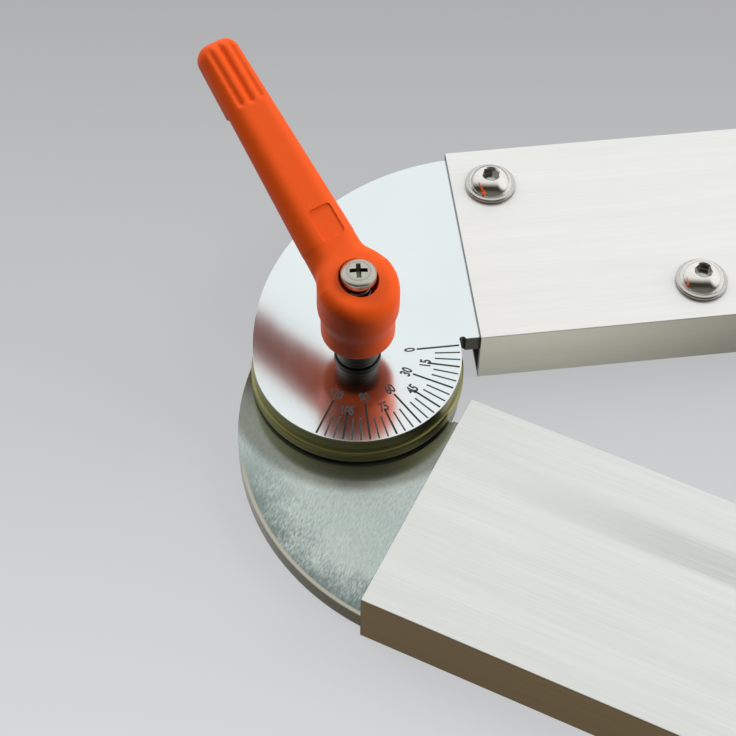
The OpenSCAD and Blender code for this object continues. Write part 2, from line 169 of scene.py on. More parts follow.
# %% Node helpers
def add_node(tree, kind, values=(), **settings):
    """A node of that kind. Settings are its properties, values pairs of an input and what feeds it."""
    node = tree.nodes.new("ShaderNode" + kind)
    for key, value in settings.items():
        setattr(node, key, value)
    for key, value in values:
        if isinstance(value, bpy.types.NodeSocket):
            tree.links.new(value, node.inputs[key])
        else:
            node.inputs[key].default_value = value
    return node


def maths(tree, operation, *values):
    """A Math node on sockets or numbers."""
    return add_node(tree, "Math", list(enumerate(values)), operation=operation).outputs[0]


def ramp(tree, fac, stops):
    """A colour ramp fed by a socket. Stops are pairs of a place and a grey or a colour."""
    node = add_node(tree, "ValToRGB", [("Fac", fac)])
    elements = node.color_ramp.elements
    while len(elements) < len(stops):
        elements.new(0.5)
    for element, (place, colour) in zip(elements, stops):
        element.position = place
        shade = (colour,) * 3 if isinstance(colour, (int, float)) else colour
        element.color = (*shade, 1)
    return node.outputs["Color"]


def rise(tree, value, start, end):
    """0 below start, 1 above end, and a smooth step between them."""
    node = add_node(tree, "MapRange", [("Value", value), ("From Min", start), ("From Max", end)],
                    interpolation_type="SMOOTHSTEP")
    return node.outputs["Result"]


def fall(tree, value, start, end):
    """1 below start, 0 above end, and a smooth step between them."""
    return maths(tree, "SUBTRACT", 1.0, rise(tree, value, start, end))


def mix_colours(tree, fac, low, high, blend="MIX"):
    """Two colours mixed by a mask."""
    node = add_node(tree, "Mix", data_type="RGBA", blend_type=blend)
    for socket, value in zip([s for s in node.inputs if s.enabled], (fac, low, high)):
        if isinstance(value, bpy.types.NodeSocket):
            tree.links.new(value, socket)
        elif isinstance(value, (int, float)):
            socket.default_value = value
        else:
            socket.default_value = (*value, 1)
    return next(s for s in node.outputs if s.enabled)


def product(tree, *values):
    """Several masks or numbers multiplied."""
    total = values[0]
    for value in values[1:]:
        total = maths(tree, "MULTIPLY", total, value)
    return total


def multiplied(tree, colour, factor):
    """A colour times another colour."""
    return mix_colours(tree, 1.0, colour, factor, "MULTIPLY")


def object_place(tree, turn=0.0, scale=(1, 1, 1), centre=(0, 0, 0)):
    """Object coordinates, turned about Z and scaled by a Mapping node, or taken from a centre."""
    coords = add_node(tree, "TexCoord")
    mapping = add_node(tree, "Mapping", [("Vector", coords.outputs["Object"]),
                                                   ("Location", [-c for c in centre]),
                                                   ("Rotation", (0, 0, turn)), ("Scale", scale)])
    return mapping.outputs[0]


def from_axis(tree, place):
    """Distance of a place from the Z axis."""
    x, y = split(tree, place)[:2]
    return maths(tree, "SQRT", maths(tree, "MULTIPLY_ADD", x, x, product(tree, y, y)))


def split(tree, vector):
    """The three numbers of a vector."""
    return add_node(tree, "SeparateXYZ", [("Vector", vector)]).outputs


def towards(tree, vector, direction):
    """The cosine between two directions."""
    node = add_node(tree, "VectorMath", [(0, vector), (1, direction)], operation="DOT_PRODUCT")
    return node.outputs["Value"]


def new_material(name, **constants):
    """A material, its tree and its Principled BSDF, with constant values on the shader itself."""
    material = bpy.data.materials.new(name)
    material.use_nodes = True
    shader = material.node_tree.nodes["Principled BSDF"]
    for key, value in constants.items():
        shader.inputs[key.replace("_", " ")].default_value = value
    return material, material.node_tree, shader


# %% [markdown]
# ## Shared effects
#
# Several finishes use the same effects: streaks from brushing, crossed scratches from a ground face,
# rings from a lathe, rounded edges with a mask for a painted highlight, and fine grain. Each one is a node
# group, built once and placed in a material with that material's own values. A group gives masks and
# normals, and the shader stays outside it, in the material.

# %% A group with named sockets
def effect_group(build, *inputs):
    """A node group with a Vector input and number inputs. Its outputs are what build gives by name."""
    group = bpy.data.node_groups.new(build.__name__, "ShaderNodeTree")
    for label in ("Vector", *inputs):
        kind = "NodeSocketVector" if label == "Vector" else "NodeSocketFloat"
        group.interface.new_socket(name=label, in_out="INPUT", socket_type=kind)
    source = group.nodes.new("NodeGroupInput").outputs
    sink = group.nodes.new("NodeGroupOutput").inputs
    for label, made in build(group, source["Vector"], *[source[i] for i in inputs]).items():
        kind = "NodeSocketVector" if made.type == "VECTOR" else "NodeSocketFloat"
        group.interface.new_socket(name=label, in_out="OUTPUT", socket_type=kind)
        group.links.new(made, sink[label])
    return group


def noise(tree, vector, detail=2.0, roughness=0.5, scale=1.0):
    """Noise between 0 and 1, mostly near a half."""
    return add_node(tree, "TexNoise", [("Vector", vector), ("Scale", scale), ("Detail", detail),
                                       ("Roughness", roughness)]).outputs[0]


def stretched(tree, vector, x, y, z):
    """A vector whose three parts are multiplied by three numbers or sockets."""
    factors = add_node(tree, "CombineXYZ", [(0, x), (1, y), (2, z)]).outputs[0]
    return add_node(tree, "VectorMath", [(0, vector), (1, factors)], operation="MULTIPLY").outputs[0]


# %% Brushed streaks
def brushed_lines(group, vector, lines, stretch):
    """Streaks along X: fine ones, and broad bands that a worn brush leaves."""
    along = product(group, lines, stretch)
    fine = stretched(group, vector, along, lines, lines)
    wide = product(group, lines, 0.11)
    broad = stretched(group, vector, product(group, along, 0.2), wide, wide)
    return {"Fine": noise(group, fine, 4.0, 0.65), "Broad": noise(group, broad, 2.0)}


# %% Crossed scratches
SCRATCH_TURNS = [math.radians(a) for a in (-84, -93, -103)]


def crossed_scratches(group, vector, lines, stretch):
    """Short scratches in a few directions, as a hand held sanding pad leaves them."""
    along = product(group, lines, stretch)
    total = 0.0
    for turn in SCRATCH_TURNS:
        turned_vector = add_node(group, "VectorRotate", [("Vector", vector), ("Angle", turn)],
                                 rotation_type="Z_AXIS").outputs[0]
        scratches = noise(group, stretched(group, turned_vector, along, lines, lines), 3.0)
        total = maths(group, "ADD", scratches, total)
    return {"Scratches": product(group, total, 1 / len(SCRATCH_TURNS)),
            "Patches": noise(group, vector, 3.0, 0.6, 45.0)}


# %% Turned rings
def turned_rings(group, vector, per_metre):
    """Tool marks of a lathe about the Z axis, on faces and on edges alike."""
    rings = product(group, from_axis(group, vector), per_metre)
    height = product(group, split(group, vector)[2], per_metre)
    groove = add_node(group, "CombineXYZ", [(0, rings), (1, height)]).outputs[0]
    return {"Rings": noise(group, groove, 3.0)}


# %% Edge light
def edge_light(group, vector, radius):
    """Rounded normals at the edges, and a mask of those edges, for a painted highlight."""
    rounded = add_node(group, "Bevel", [("Radius", radius)], samples=6).outputs[0]
    flat = add_node(group, "NewGeometry").outputs["Normal"]
    edge = maths(group, "SUBTRACT", 1.0, towards(group, rounded, flat))
    return {"Edge": rise(group, edge, 0.01, 0.2), "Normal": rounded}


# %% Fine grain
def fine_grain(group, vector, scale):
    """Moulded grain, and sparse specks such as dust or small pits."""
    cells = add_node(group, "TexVoronoi", [("Vector", vector), ("Scale", product(group, scale, 0.12))])
    near = rise(group, maths(group, "SUBTRACT", 0.14, cells.outputs["Distance"]), 0.0, 0.1)
    some = maths(group, "GREATER_THAN", split(group, cells.outputs["Color"])[0], 0.8)
    return {"Grain": noise(group, vector, 3.0, 0.6, scale), "Specks": product(group, near, some)}


# %% Build the groups
brushed_lines = effect_group(brushed_lines, "Lines per metre", "Stretch")
crossed_scratches = effect_group(crossed_scratches, "Lines per metre", "Stretch")
turned_rings = effect_group(turned_rings, "Rings per metre")
edge_light = effect_group(edge_light, "Radius")
fine_grain = effect_group(fine_grain, "Grains per metre")
print("shared effects:", sorted(g.name for g in bpy.data.node_groups))


def effect(tree, group, vector, **values):
    """Places an effect in a material and returns its outputs."""
    node = add_node(tree, "Group", node_tree=group)
    tree.links.new(vector, node.inputs["Vector"])
    for key, value in values.items():
        node.inputs[key.replace("_", " ")].default_value = value
    return node.outputs


def feed(tree, shader, colour, rough):
    """Feeds the shader's colour and its roughness."""
    tree.links.new(colour, shader.inputs["Base Color"])
    tree.links.new(rough, shader.inputs["Roughness"])


def relief(tree, shader, place, height, depth, strength, radius):
    """Feeds the shader's Normal: a height on normals that are rounded at the edges. Gives their mask."""
    edges = effect(tree, edge_light, place, Radius=radius)
    node = add_node(tree, "Bump", [("Height", height), ("Strength", strength), ("Distance", depth),
                                             ("Normal", edges["Normal"])])
    tree.links.new(node.outputs[0], shader.inputs["Normal"])
    return edges["Edge"]


# %% [markdown]
# ## Studio
#
# Bright metal shows the room around it more than its own colour. In the picture the room is bright
# behind and above the tool and dark in front of it, so flat tops are nearly white and every face that
# looks at the camera is dark. The world therefore runs from dark in front to bright behind. It is a
# gradient along a fixed direction of the room, so it looks the same from wherever the camera stands. What
# is seen and mirrored is grey again low in front, so that the tool doesn't turn black when it is seen from
# behind, and has a bright window on the right, for the highlights. The lamps light the tool but are not
# mirrored, because their images would burn out on the flat metal.

# %% World
BACK_DIRECTION = Vector((-math.sin(CAMERA_HEADING), math.cos(CAMERA_HEADING), 0.75)).normalized()
ROOM_LIGHT = [(0.0, (0.03, 0.028, 0.024)), (0.5, (0.012, 0.01, 0.007)), (0.68, (0.09, 0.088, 0.08)),
              (0.8, (0.45, 0.45, 0.44)), (0.92, (0.94, 0.945, 0.94))]
ROOM_SEEN = [(0.0, (0.17, 0.17, 0.165)), (0.28, (0.13, 0.125, 0.11)), (0.35, (0.05, 0.045, 0.034)),
             (0.5, (0.028, 0.024, 0.016)), (0.58, (0.3, 0.29, 0.26)), (0.7, (0.85, 0.84, 0.81)),
             (0.92, (0.96, 0.965, 0.96))]
room_turn = Matrix.Rotation(CAMERA_HEADING, 3, "Z")
WINDOW_DIRECTION = room_turn @ Vector((1.0, 0.1, 0.55)).normalized()
WINDOW_WHITE = (0.98, 0.98, 0.97)


def seen_rays(tree):
    """1 for what the camera sees, straight, mirrored or through glass, and 0 for light that bounces."""
    rays = add_node(tree, "LightPath").outputs
    seen = maths(tree, "ADD", rays["Is Camera Ray"], rays["Is Glossy Ray"])
    return maths(tree, "MINIMUM", maths(tree, "ADD", seen, rays["Is Transmission Ray"]), 1.0)


def build_world():
    """A room that is dark on the camera's side and bright behind and above the tool."""
    world = bpy.data.worlds.new("studio")
    bpy.context.scene.world = world
    world.use_nodes = True
    tree = world.node_tree
    tree.nodes.clear()
    way = add_node(tree, "TexCoord").outputs["Generated"]
    back = maths(tree, "MULTIPLY_ADD", towards(tree, way, BACK_DIRECTION), 0.5, 0.5)
    window = rise(tree, towards(tree, way, WINDOW_DIRECTION), 0.78, 0.95)
    mirrored = mix_colours(tree, window, ramp(tree, back, ROOM_SEEN), WINDOW_WHITE)
    room = mix_colours(tree, seen_rays(tree), ramp(tree, back, ROOM_LIGHT), mirrored)
    light = add_node(tree, "Background", [("Color", room)])
    out = add_node(tree, "OutputWorld")
    tree.links.new(light.outputs[0], out.inputs["Surface"])


build_world()


# %% Lamps
def area_lamp(name, direction, distance, size, power):
    """A square lamp that stands off the pivot in a direction and looks back at it."""
    data = bpy.data.lights.new(name, "AREA")
    data.shape = "SQUARE"
    data.size = size
    data.energy = power
    lamp = new_object(name, data)
    lamp.visible_glossy = False
    away = Vector(direction).normalized()
    facing = away.to_track_quat("Z", "Y").to_matrix().to_4x4()
    lamp.matrix_world = Matrix.Translation(away * distance) @ facing


area_lamp("right_lamp", WINDOW_DIRECTION, 1.3, 0.8, 14.0)
area_lamp("left_lamp", room_turn @ Vector((-1.0, 0.55, 0.95)), 1.3, 0.6, 8.0)

# %% [markdown]
# ## Floor
#
# The floor is a plain pale sheet. Seen by the camera and in reflections it shows a soft grey that
# gets lighter towards the front, as the picture's background does. Most of that grey glows by itself
# and the rest is lit, so the tool's shadow stays but is as faint as in the picture. To
# the light that bounces off it, the floor is darker, so it doesn't fill the handle's shaded front.

# %% Floor
FLOOR_HALF = 3.0
FLOOR_GREY_NEAR = (0.74, 0.755, 0.77)
FLOOR_GREY_FAR = (0.40, 0.402, 0.415)
FLOOR_BOUNCE = (0.05, 0.045, 0.038)
FLOOR_GLOW = 0.8


def floor_material():
    """A pale matte sheet whose grey runs from the front to the back."""
    material, tree, shader = new_material("pale_floor", Roughness=0.9, Specular_IOR_Level=0.1,
                                          Emission_Strength=1.0)
    depth = split(tree, object_place(tree, -CAMERA_HEADING))[1]
    grey = ramp(tree, maths(tree, "MULTIPLY_ADD", depth, 2.6, 0.5),
                [(0.0, FLOOR_GREY_NEAR), (1.0, FLOOR_GREY_FAR)])
    seen = seen_rays(tree)
    lit = multiplied(tree, grey, (1 - FLOOR_GLOW,) * 3)
    glow = multiplied(tree, grey, (FLOOR_GLOW,) * 3)
    tree.links.new(mix_colours(tree, seen, FLOOR_BOUNCE, lit), shader.inputs["Base Color"])
    tree.links.new(mix_colours(tree, seen, (0, 0, 0), glow), shader.inputs["Emission Color"])
    return material


def build_floor():
    """A square sheet under the lowest point of the tool."""
    bm = bmesh.new()
    bmesh.ops.create_grid(bm, x_segments=1, y_segments=1, size=FLOOR_HALF, matrix=raised(cad_box[0][2]))
    floor = as_object(bm, "floor")
    floor.data.materials.append(floor_material())


build_floor()

# %% [markdown]
# ## Aluminium tubes
#
# The broad faces of the tubes are brushed lengthwise and nearly white. The fence sides get a painted
# reflection, light near the pivot and dark brown further out, and painted shade towards their bottom.
# The outer sides get a dark brown painted reflection. All three are one material: masks on the distance
# across the arm pick the side, and the streaks run along it. The near end gets painted shade, and a band
# along the lower arm's top was rubbed darker in use.

# %% Tube finish
# Painted reflection on the fence side, light near the pivot and dark brown further out
FENCE_NEAR_PAINTED_REFLECTION = (0.99, 0.99, 0.83)
FENCE_FAR_PAINTED_REFLECTION = (0.44, 0.39, 0.30)
# Painted dark brown reflection on the outer side
OUTER_PAINTED_REFLECTION = (0.22, 0.135, 0.035)
RUBBED = (0.3, 0.29, 0.27)
# Painted shade on the near end face
END_PAINTED_SHADE = (0.07, 0.07, 0.065)
FENCE_AT = 0.75 * MM
OUTER_AT = 75.75 * MM
CORNER = 0.25 * MM
ARM_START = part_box("lower_tube")[0].x


def tube_finish(name, turn, side, top, streaked, band=0.0):
    """Brushed aluminium. The arm is turned onto +X, and its body lies on the side of +1 or -1 Y."""
    material, tree, shader = new_material(name, Metallic=0.72)
    place = object_place(tree, turn, (1, side, 1))
    along, across, height = split(tree, place)
    streaks = effect(tree, brushed_lines, place, Lines_per_metre=1500.0, Stretch=0.018)
    fence = fall(tree, across, FENCE_AT, FENCE_AT + CORNER)
    outer = rise(tree, across, OUTER_AT - CORNER, OUTER_AT)
    # Painted reflection on the fence side, and painted shade that makes it darker towards its bottom
    fence_painted_reflection = mix_colours(tree, rise(tree, along, 50 * MM, 170 * MM), FENCE_NEAR_PAINTED_REFLECTION, FENCE_FAR_PAINTED_REFLECTION)
    low = ramp(tree, rise(tree, height, 0.0, tube_top), [(0.0, 0.8), (1.0, 1.0)])
    colour = mix_colours(tree, fence, top, multiplied(tree, fence_painted_reflection, low))
    # Painted dark brown reflection on the outer side
    colour = mix_colours(tree, outer, colour, OUTER_PAINTED_REFLECTION)
    fine = ramp(tree, streaks["Fine"], [(0.3, 1.0 - streaked), (0.7, 1.0)])
    broad = ramp(tree, streaks["Broad"], [(0.35, 1.0 - 0.5 * streaked), (0.65, 1.0)])
    colour = multiplied(tree, multiplied(tree, colour, fine), broad)
    if band:
        inside = product(tree, rise(tree, across, 15 * MM, 19 * MM), fall(tree, across, 26 * MM, 28.5 * MM),
                         rise(tree, along, 40 * MM, 125 * MM), rise(tree, streaks["Fine"], 0.25, 0.6), band)
        colour = mix_colours(tree, inside, colour, RUBBED)
    # Painted shade on the near end face
    cut = rise(tree, along, ARM_START, ARM_START + 0.1 * MM)
    feed(tree, shader, mix_colours(tree, cut, END_PAINTED_SHADE, colour),
         ramp(tree, streaks["Fine"], [(0.2, 0.42), (0.8, 0.3)]))
    relief(tree, shader, place, streaks["Fine"], 0.012 * MM, 0.4, 0.15 * MM)
    return material


def give(names, material):
    """Puts a material on CAD nodes, in every slot that they have."""
    for name in names:
        data = nodes[name].data
        if not data.materials:
            data.materials.append(material)
        for slot in range(len(data.materials)):
            data.materials[slot] = material


give(["upper_tube"], tube_finish("upper_brushed_aluminium", -opening, 1, (0.89, 0.89, 0.87), 0.05))
give(["lower_tube"], tube_finish("lower_brushed_aluminium", 0.0, -1, (0.80, 0.815, 0.79), 0.08, 0.35))

# %% [markdown]
# ## Plates
#
# The dial is lapped and polished, so it mirrors the handle softly. The lower plate is only ground: it
# is darker and greener, short scratches cross it, a painted reflection and shadow of the pivot stack
# darkens it round the spacer, it is darker along part of its rim, and a painted highlight runs along the
# rim. The edges of both plates were sawn and turned, and a painted reflection makes them dark. A mask on
# the height tells the face from the edge.

# %% Dial and plate finishes
HEEL_R = -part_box("lower_plate")[0].y
DIAL_R = -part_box("lower_plate")[0].x
# How far the painted reflection and shadow of the pivot stack reach round the spacer
STACK_SHADE_R = 39.0 * MM


def dial_finish():
    """Polished and slightly blue on the face, turned on the edge, brown there from a painted reflection
    and darker on the tongue from painted shade.
    """
    material, tree, shader = new_material("polished_dial_steel", Metallic=1.0)
    place = object_place(tree, -opening)
    scratches = effect(tree, crossed_scratches, place, Lines_per_metre=2600.0, Stretch=0.03)
    face = rise(tree, split(tree, place)[2], dial_z - 0.3 * MM, dial_z - 0.22 * MM)
    bright = ramp(tree, scratches["Patches"], [(0.3, (0.80, 0.87, 0.885)), (0.7, (0.83, 0.89, 0.895))])
    rings = effect(tree, turned_rings, place, Rings_per_metre=2200.0)
    # Painted reflection: the turned edge is olive brown
    edge = ramp(tree, rings["Rings"], [(0.35, (0.27, 0.26, 0.12)), (0.7, (0.53, 0.51, 0.27))])
    tongue = rise(tree, from_axis(tree, place), DIAL_R + 0.2 * MM, DIAL_R + 0.6 * MM)
    # Painted shade on the tongue's edge
    edge = mix_colours(tree, tongue, edge, (0.10, 0.095, 0.08))
    polish = ramp(tree, scratches["Scratches"], [(0.3, 0.13), (0.7, 0.2)])
    feed(tree, shader, mix_colours(tree, face, edge, bright), mix_colours(tree, face, (0.35,) * 3, polish))
    relief(tree, shader, place, scratches["Scratches"], 0.004 * MM, 0.35, 0.1 * MM)
    return material


def ground_plate_finish():
    """Ground and scratched on the face, darker along part of the rim, with a painted reflection and shadow
    of the pivot stack round the spacer, a painted highlight at the rim and a painted reflection on the edge.
    """
    material, tree, shader = new_material("ground_plate_steel", Metallic=0.88)
    place = object_place(tree)
    scratches = effect(tree, crossed_scratches, place, Lines_per_metre=2300.0, Stretch=0.28)
    across, height = split(tree, object_place(tree, 0.0, (1, -1, 1)))[1:]
    face = rise(tree, height, heel_z - 0.35 * MM, heel_z - 0.15 * MM)
    tone = ramp(tree, scratches["Patches"], [(0.3, (0.455, 0.54, 0.515)), (0.7, (0.53, 0.6, 0.565))])
    cuts = ramp(tree, scratches["Scratches"], [(0.38, 0.82), (0.6, 1.04)])
    top = multiplied(tree, tone, cuts)
    to_rim = from_axis(tree, object_place(tree, centre=(HEEL_R - DIAL_R, 0, 0)))
    uneven = maths(tree, "ADD", scratches["Scratches"], scratches["Patches"])
    # Darker along part of the rim, with an uneven border
    worn = rise(tree, maths(tree, "MULTIPLY_ADD", uneven, -40 * MM, to_rim),
                HEEL_R - 58 * MM, HEEL_R - 37 * MM)
    worn = product(tree, worn, rise(tree, across, 32 * MM, 60 * MM))
    top = mix_colours(tree, worn, top, (0.15, 0.19, 0.18))
    # Painted reflection and shadow of the pivot stack on the face round the spacer
    stack_shade = fall(tree, from_axis(tree, place), STACK_SHADE_R, STACK_SHADE_R + 3.5 * MM)
    top = mix_colours(tree, product(tree, stack_shade, 0.6), top, (0.115, 0.11, 0.06))
    # Painted highlight: a tan line just inside the rim of the face
    rim_highlight = product(tree, rise(tree, to_rim, HEEL_R - 1.3 * MM, HEEL_R - 0.9 * MM),
                      rise(tree, across, 40 * MM, 48 * MM))
    top = mix_colours(tree, rim_highlight, top, (0.46, 0.44, 0.36))
    rings = effect(tree, turned_rings, place, Rings_per_metre=1800.0)
    # Painted reflection: the turned edge is dark brown
    edge = ramp(tree, rings["Rings"], [(0.35, (0.05, 0.043, 0.016)), (0.7, (0.13, 0.115, 0.05))])
    feed(tree, shader, mix_colours(tree, face, edge, top),
         ramp(tree, scratches["Scratches"], [(0.35, 0.2), (0.65, 0.14)]))
    relief(tree, shader, place, scratches["Scratches"], 0.006 * MM, 0.15, 0.3 * MM)
    return material


give(["upper_plate"], dial_finish())
give(["lower_plate"], ground_plate_finish())


# %% [markdown]
# ## Turned metal, screws and plastic
#
# The round pieces of the pivot came off a lathe, so fine rings run round them. One function makes all
# of these finishes, because only their colour, gloss and ring spacing differ. The glide disc and the
# end plugs are black plastic with a moulded grain.

# %% Turned metals
def turned_finish(name, dark, light, rough, rings_per_metre=2500.0):
    """Metal with lathe marks about the pivot axis, between two colours."""
    material, tree, shader = new_material(name, Metallic=1.0)
    place = object_place(tree)
    rings = effect(tree, turned_rings, place, Rings_per_metre=rings_per_metre)
    grain = effect(tree, fine_grain, place, Grains_per_metre=3000.0)
    colour = ramp(tree, rings["Rings"], [(0.35, dark), (0.65, light)])
    colour = mix_colours(tree, product(tree, grain["Specks"], 0.4), colour, dark)
    feed(tree, shader, colour, ramp(tree, rings["Rings"], [(0.3, rough * 1.25), (0.7, rough * 0.8)]))
    relief(tree, shader, place, rings["Rings"], 0.005 * MM, 0.4, 0.2 * MM)
    return material


TURNED = [
    # Painted reflection: the spacer's steel is olive brown, as if it mirrors the dark room
    (["spacer_disc"], "turned_spacer_steel", (0.31, 0.295, 0.12), (0.54, 0.51, 0.25), 0.3, 1500.0),
    (["pivot_bolt", "bolt_lock_pin"], "turned_bolt_steel", (0.5, 0.5, 0.49), (0.66, 0.66, 0.65), 0.3),
    # Painted reflection: the insert and its washer are nearly black, as if they mirror the hub's dark front
    (["clamp_insert", "thrust_washer"], "burnished_insert_steel",
     (0.035, 0.034, 0.03), (0.07, 0.068, 0.06), 0.28, 900.0),
    (["pivot_bush"], "turned_brass", (0.62, 0.42, 0.16), (0.75, 0.54, 0.24), 0.25),
    (["spacer_screws", "lower_arm_screw_rear", "lower_arm_screw_fence"], "blackened_screw_steel",
     (0.03, 0.03, 0.03), (0.07, 0.07, 0.07), 0.4)]
for names, *finish in TURNED:
    give(names, turned_finish(*finish))


# %% Black plastic
def black_plastic(name, colour, rough, grains_per_metre):
    """Moulded black plastic with a fine grain."""
    material, tree, shader = new_material(name)
    place = object_place(tree)
    grain = effect(tree, fine_grain, place, Grains_per_metre=grains_per_metre)
    worn = [c * 2.2 for c in colour]
    feed(tree, shader, mix_colours(tree, rise(tree, grain["Grain"], 0.5, 0.8), colour, worn),
         ramp(tree, grain["Grain"], [(0.3, rough * 0.9), (0.7, rough * 1.15)]))
    relief(tree, shader, place, grain["Grain"], 0.03 * MM, 0.5, 0.3 * MM)
    return material


give(["upper_end_plug", "lower_end_plug"], black_plastic("plug_plastic", (0.02, 0.02, 0.021), 0.42, 2000.0))
give(["glide_disc"], black_plastic("glide_plastic", (0.012, 0.012, 0.011), 0.5, 1500.0))


# %% [markdown]
# ## Making pieces
#
# Every new piece goes the same way: a bmesh becomes an object at the origin, modifiers may work on it
# and are then applied, its faces are shaded smooth up to an angle, and it is put on the body that
# carries it.

# %% Piece helpers
def baked_mesh(piece):
    """The mesh of an object with its modifiers applied."""
    graph = bpy.context.evaluated_depsgraph_get()
    return bpy.data.meshes.new_from_object(piece.evaluated_get(graph))


def apply_modifiers(piece):
    """Puts the result of a piece's modifiers in its mesh."""
    mesh = baked_mesh(piece)
    piece.modifiers.clear()
    piece.data = mesh


def combine(piece, bm, operation="DIFFERENCE"):
    """Cuts a form away from a piece, or adds it."""
    other = as_object(bm, "form")
    modifier = piece.modifiers.new("combine", "BOOLEAN")
    modifier.object = other
    modifier.operation = operation
    modifier.solver = "EXACT"
    apply_modifiers(piece)
    bpy.data.objects.remove(other)


def dress(piece, material, body, sharp=35.0):
    """Smooth shading with sharp edges, a material and a body."""
    piece.data.materials.clear()
    piece.data.materials.append(material)
    piece.data.shade_smooth()
    piece.data.set_sharp_from_angle(angle=math.radians(sharp))
    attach(piece, body)
    triangles = sum(len(p.vertices) - 2 for p in piece.data.polygons)
    print("%s: %d triangles" % (piece.name, triangles))
    return piece


def turned(profile, steps=96):
    """A closed body turned about Z from a profile of (radius, height) points that starts and ends on
    the axis."""
    bm = bmesh.new()
    points = [bm.verts.new((r, 0, z)) for r, z in profile]
    edges = [bm.edges.new(pair) for pair in zip(points, points[1:])]
    bmesh.ops.spin(bm, geom=points + edges, cent=(0, 0, 0), axis=(0, 0, 1), angle=math.tau,
                   steps=steps, use_merge=True)
    bmesh.ops.remove_doubles(bm, verts=bm.verts, dist=1e-6)
    bmesh.ops.recalc_face_normals(bm, faces=bm.faces)
    return bm


def cone(segments, low, high, bottom, top):
    """A cone or a prism about Z, with its two radii and its two heights."""
    bm = bmesh.new()
    bmesh.ops.create_cone(bm, cap_ends=True, segments=segments, radius1=low, radius2=high,
                          depth=top - bottom, matrix=raised((bottom + top) / 2))
    return bm


def rounded_section(bm, width, height, radius, segments):
    """A face in the YZ plane with round corners."""
    upright = Matrix.Diagonal((1, width, height, 1)) @ Matrix.Rotation(math.pi / 2, 4, "Y")
    made = bmesh.ops.create_grid(bm, x_segments=1, y_segments=1, size=0.5, matrix=upright)
    bmesh.ops.bevel(bm, geom=made["verts"], affect="VERTICES", offset=radius, segments=segments,
                    profile=0.5, material=-1)
    return max(bm.faces, key=lambda f: f.calc_area())


def loft_on(bm, face, move, scale):
    """Extrudes a face, moves its copy along X and scales it about its middle."""
    made = bmesh.ops.extrude_face_region(bm, geom=[face])
    new = next(g for g in made["geom"] if isinstance(g, bmesh.types.BMFace))
    bmesh.ops.delete(bm, geom=[face], context="FACES_ONLY")
    bmesh.ops.translate(bm, vec=(move, 0, 0), verts=new.verts)
    middle = new.calc_center_median()
    bmesh.ops.scale(bm, vec=(1, *scale), verts=new.verts, space=Matrix.Translation(-middle))
    return new


# %% [markdown]
# ## Handle
#
# The handle is one moulding. Its arm grows out of the hub in a smooth fillet, which is awkward to model
# face by face. Here the hub, the arm and the grip are made as plain overlapping forms, a voxel remesh
# melts them into one skin, and smoothing rounds the places where they meet. The bores, which have to
# stay exact, are cut afterwards.

# %% Handle sizes, in millimetres
HUB_R = 11.0
COLLAR_R = 12.05
COLLAR_H = 13.6
SKIRT_H = 7.6
HUB_H = 25.6
HUB_CHAMFER = 1.2
HUB_SLOPE = math.radians(17)
HUB_ROUND = 3.8
ARM_AZIMUTH = math.radians(149.7)
ARM_RISE = math.radians(26)
ARM_DROP = 8.3
ARM_LENGTH = 85.1
ARM_WIDTH = 18.2
TIP_WIDTH = 12.5
ARM_SHARE = 0.68
TIP_ROUND = 4.0
GRIP_START = 63.5
GRIP_STEP = 2.9
GROOVE_PITCH = 3.5
GROOVE_R = 0.95
GUIDE_R, GUIDE_TOP = 6.55, 4.2
TEETH_R, TEETH_TOP = 6.15, 13.5
SHOULDER_R, SHOULDER_TOP = 2.65, 16.5
RECESS_R = 5.8
PANEL_SIZE = (10.6, 8.4)
PANEL_DEPTH = 0.55
PANEL_AT = (22.5, -0.8)
# How much the arm's top falls towards the tip, because the arm gets thinner
ARM_FALL = math.atan((ARM_WIDTH - TIP_WIDTH) * ARM_SHARE / 2 / ARM_LENGTH)

handle_turn = Matrix.Rotation(ARM_AZIMUTH, 4, "Z")
# From millimetres along the arm's axis, and from millimetres over the hub's foot
arm_frame = (handle_turn @ raised(hub_z + (HUB_H - ARM_DROP) * MM) @ Matrix.Rotation(-ARM_RISE, 4, "Y")
             @ TO_METRES)
hub_frame = raised(hub_z) @ handle_turn @ TO_METRES


# %% Hub
def hub_form():
    """Turned skirt and collar under a sloping top with a round edge, in metres at its place."""
    waist = [(HUB_R + (COLLAR_R - HUB_R) * (3 * t * t - 2 * t ** 3), SKIRT_H + (COLLAR_H - SKIRT_H) * t)
             for t in (0.0, 0.2, 0.4, 0.6, 0.8, 1.0)]
    bm = turned([(0, 0), (HUB_R - HUB_CHAMFER, 0), (HUB_R, HUB_CHAMFER), *waist,
                 (COLLAR_R, 2 * HUB_H), (0, 2 * HUB_H)])
    normal = Matrix.Rotation(-HUB_SLOPE, 3, "Y") @ Vector((0, 0, 1))
    bmesh.ops.bisect_plane(bm, geom=bm.verts[:] + bm.edges[:] + bm.faces[:], plane_co=(0, 0, HUB_H),
                           plane_no=normal, clear_outer=True)
    rim = [e for e in bm.edges if e.is_boundary]
    bmesh.ops.holes_fill(bm, edges=rim, sides=0)
    bmesh.ops.bevel(bm, geom=rim, affect="EDGES", offset=HUB_ROUND, segments=10, profile=0.5, material=-1)
    bmesh.ops.recalc_face_normals(bm, faces=bm.faces)
    bm.transform(hub_frame)
    return bm


# %% Arm and grip
def arm_width(x):
    """Width of the arm at a distance along it, in millimetres."""
    return ARM_WIDTH + (TIP_WIDTH - ARM_WIDTH) * x / ARM_LENGTH


def arm_top(x):
    """Height of the arm's top over its axis at a distance along it, in millimetres."""
    return arm_width(x) * ARM_SHARE / 2


